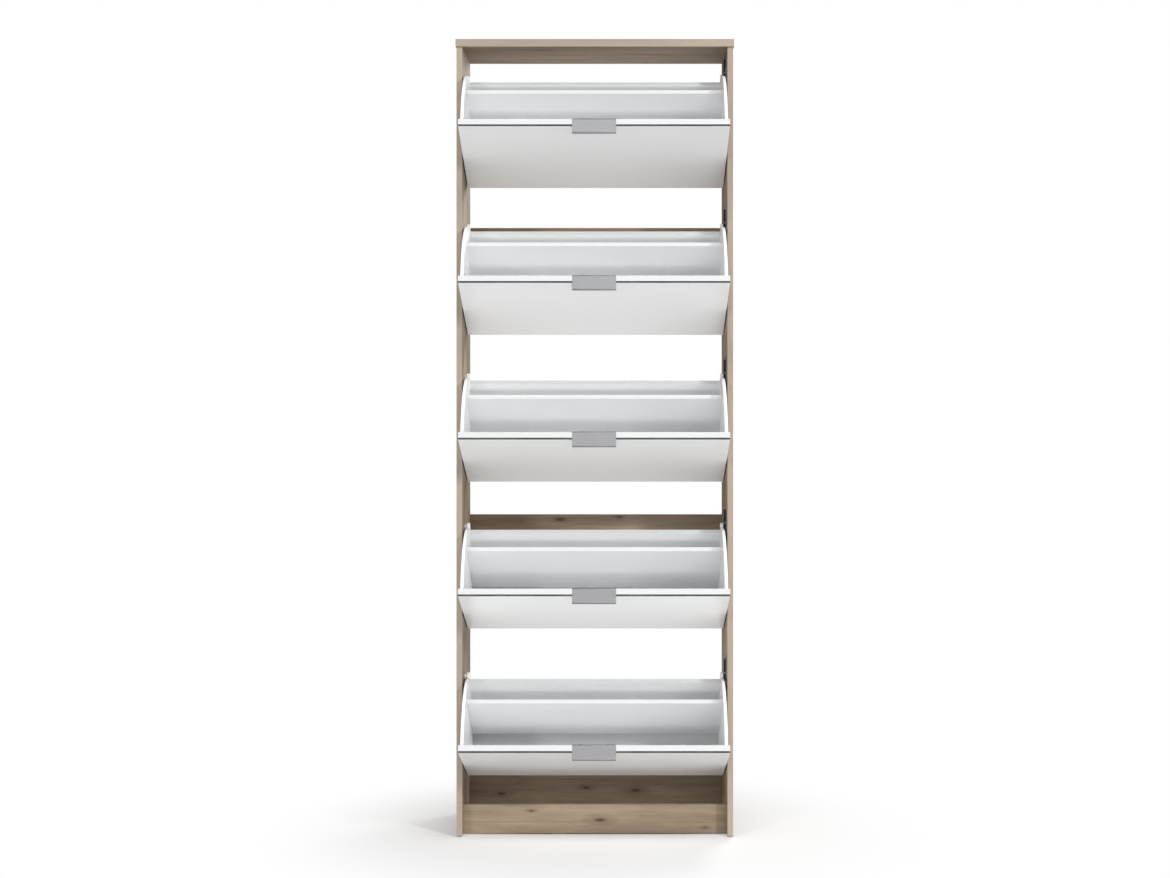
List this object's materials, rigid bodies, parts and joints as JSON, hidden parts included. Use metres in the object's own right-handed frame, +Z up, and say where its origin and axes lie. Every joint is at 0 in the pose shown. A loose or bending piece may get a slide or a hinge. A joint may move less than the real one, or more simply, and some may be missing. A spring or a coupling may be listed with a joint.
{
  "type": "shoe cabinet",
  "caption": "Tall free-standing shoe cabinet with an oak-effect carcass, open back and tilting glass-fronted flaps that carry two-row shoe trays.",
  "frame": {"origin": "bottom centre of the bounding box with every flap open, on the floor", "axes": "+X to the right seen from the front, +Y from the front to the back, +Z up"},
  "size_m": [0.59, 0.4042, 1.6907],
  "materials": {
    "oak_board": "wood-effect foil on board, matt",
    "white_board": "white melamine on board, satin",
    "coated_glass": "float glass with a pale coating on its back, polished edges",
    "brushed_aluminium": "brushed along its length",
    "white_plastic": "moulded, fine satin",
    "steel": "bright zinc",
    "zinc_plate": "pressed zinc-plated steel",
    "black_rubber": "moulded, matt",
    "beech": "bare turned dowel",
    "glide_plastic": "moulded"
  },
  "bodies": {
    "carcass": {"side_panel_left": "oak_board", "side_panel_right": "oak_board", "top_panel": "oak_board", "plinth": "oak_board", "back_rail_lower": "oak_board", "back_rail_middle": "oak_board", "back_rail_upper": "oak_board", "carcass_screws": "steel", "carcass_dowels": "beech", "pivot_pins": "steel", "foot_glides": "glide_plastic", "stop_brackets": "zinc_plate", "stop_buffers": "black_rubber", "stop_screws": "steel"},
    "flap_1": {"flap_1_front_board": "white_board", "flap_1_front_glass": "coated_glass", "flap_1_handle": "brushed_aluminium", "flap_1_side_plate_right": "white_plastic", "flap_1_side_plate_left": "white_plastic", "flap_1_divider": "white_board", "flap_1_rear_wall": "white_board", "flap_1_tray_floors": "white_board", "flap_1_screws": "steel"},
    "flap_2": {"flap_2_front_board": "white_board", "flap_2_front_glass": "coated_glass", "flap_2_handle": "brushed_aluminium", "flap_2_side_plate_right": "white_plastic", "flap_2_side_plate_left": "white_plastic", "flap_2_divider": "white_board", "flap_2_rear_wall": "white_board", "flap_2_tray_floors": "white_board", "flap_2_screws": "steel"},
    "flap_3": {"flap_3_front_board": "white_board", "flap_3_front_glass": "coated_glass", "flap_3_handle": "brushed_aluminium", "flap_3_side_plate_right": "white_plastic", "flap_3_side_plate_left": "white_plastic", "flap_3_divider": "white_board", "flap_3_rear_wall": "white_board", "flap_3_tray_floors": "white_board", "flap_3_screws": "steel"},
    "flap_4": {"flap_4_front_board": "white_board", "flap_4_front_glass": "coated_glass", "flap_4_handle": "brushed_aluminium", "flap_4_side_plate_right": "white_plastic", "flap_4_side_plate_left": "white_plastic", "flap_4_divider": "white_board", "flap_4_rear_wall": "white_board", "flap_4_tray_floors": "white_board", "flap_4_screws": "steel"},
    "flap_5": {"flap_5_front_board": "white_board", "flap_5_front_glass": "coated_glass", "flap_5_handle": "brushed_aluminium", "flap_5_side_plate_right": "white_plastic", "flap_5_side_plate_left": "white_plastic", "flap_5_divider": "white_board", "flap_5_rear_wall": "white_board", "flap_5_tray_floors": "white_board", "flap_5_screws": "steel"}
  },
  "joints": [
    {"name": "flap_1_tilt", "type": "hinge", "parent": "carcass", "child": "flap_1", "pos_m": [0, 0.00609, 0.19243], "axis": [-1, 0, 0], "range_deg": [0, 71]},
    {"name": "flap_2_tilt", "type": "hinge", "parent": "carcass", "child": "flap_2", "pos_m": [0, 0.00609, 0.51343], "axis": [-1, 0, 0], "range_deg": [0, 71]},
    {"name": "flap_3_tilt", "type": "hinge", "parent": "carcass", "child": "flap_3", "pos_m": [0, 0.00609, 0.83443], "axis": [-1, 0, 0], "range_deg": [0, 71]},
    {"name": "flap_4_tilt", "type": "hinge", "parent": "carcass", "child": "flap_4", "pos_m": [0, 0.00609, 1.15543], "axis": [-1, 0, 0], "range_deg": [0, 71]},
    {"name": "flap_5_tilt", "type": "hinge", "parent": "carcass", "child": "flap_5", "pos_m": [0, 0.00609, 1.47643], "axis": [-1, 0, 0], "range_deg": [0, 71]}
  ]
}
